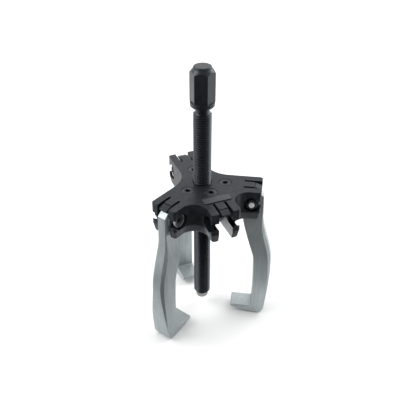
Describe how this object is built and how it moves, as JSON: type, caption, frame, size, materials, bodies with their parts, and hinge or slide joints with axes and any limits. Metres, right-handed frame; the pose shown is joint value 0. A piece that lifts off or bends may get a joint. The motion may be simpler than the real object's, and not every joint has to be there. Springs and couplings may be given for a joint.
{
  "type": "gear puller",
  "caption": "Mechanical jaw puller: forged crosshead with forked arms, hooked pivoting legs, and a central hex-headed forcing screw with a free-turning pressure tip.",
  "frame": {"origin": "centre of the pressure tip's flat pressing face, on the spindle's axis", "axes": "+Z along the spindle from the tip to the hex head; +Y along the arm of leg a; +X to the right of it seen from the spare arm"},
  "size_m": [0.1418, 0.1405, 0.2972],
  "materials": {
    "forged_black": "satin black phosphate over a forged skin",
    "spindle_black": "oiled black oxide",
    "leg_grey": "satin light grey, finely blasted",
    "zinc_steel": "bright zinc or ground steel",
    "black_oxide": "black oxide fasteners",
    "label_grey": "blank satin strip"
  },
  "bodies": {
    "head": {"crosshead": "forged_black", "label_strip": "label_grey", "hub_screw_a": "black_oxide", "hub_screw_b": "black_oxide", "hub_screw_c": "black_oxide", "hub_screw_d": "black_oxide", "pivot_screw_a": "black_oxide", "pivot_nut_a": "black_oxide", "screw_washer_a": "zinc_steel", "nut_washer_a": "black_oxide", "pivot_screw_b": "black_oxide", "pivot_nut_b": "black_oxide", "screw_washer_b": "zinc_steel", "nut_washer_b": "black_oxide", "pivot_screw_c": "black_oxide", "pivot_nut_c": "black_oxide", "screw_washer_c": "zinc_steel", "nut_washer_c": "black_oxide"},
    "tip": {"spindle_tip": "zinc_steel", "tip_snap_ring": "black_oxide", "thrust_ball": "zinc_steel"},
    "screw": {"spindle": "spindle_black"},
    "leg_a": {"leg_a": "leg_grey"},
    "leg_b": {"leg_b": "leg_grey"},
    "leg_c": {"leg_c": "leg_grey"}
  },
  "joints": [
    {"name": "spindle_travel", "type": "slide", "parent": "head", "child": "tip", "axis": [0, 0, 1], "range_m": [-0.07, 0.11]},
    {"name": "spindle_spin", "type": "hinge", "parent": "tip", "child": "screw", "pos_m": [0, 0, 0.1], "axis": [0, 0, 1], "range_deg": [-10116, 15876]},
    {"name": "leg_a_pivot", "type": "hinge", "parent": "head", "child": "leg_a", "pos_m": [0, 0.0532, 0.1443], "axis": [1, 0, 0], "range_deg": [-9, 20]},
    {"name": "leg_b_pivot", "type": "hinge", "parent": "head", "child": "leg_b", "pos_m": [-0.04607, -0.0266, 0.1443], "axis": [-0.5, 0.866, 0], "range_deg": [-9, 20]},
    {"name": "leg_c_pivot", "type": "hinge", "parent": "head", "child": "leg_c", "pos_m": [0.04607, -0.0266, 0.1443], "axis": [-0.5, -0.866, 0], "range_deg": [-9, 20]}
  ],
  "couplings": [
    {"joint": "spindle_spin", "follows": "spindle_travel", "rad_per_m": 2513.3}
  ]
}
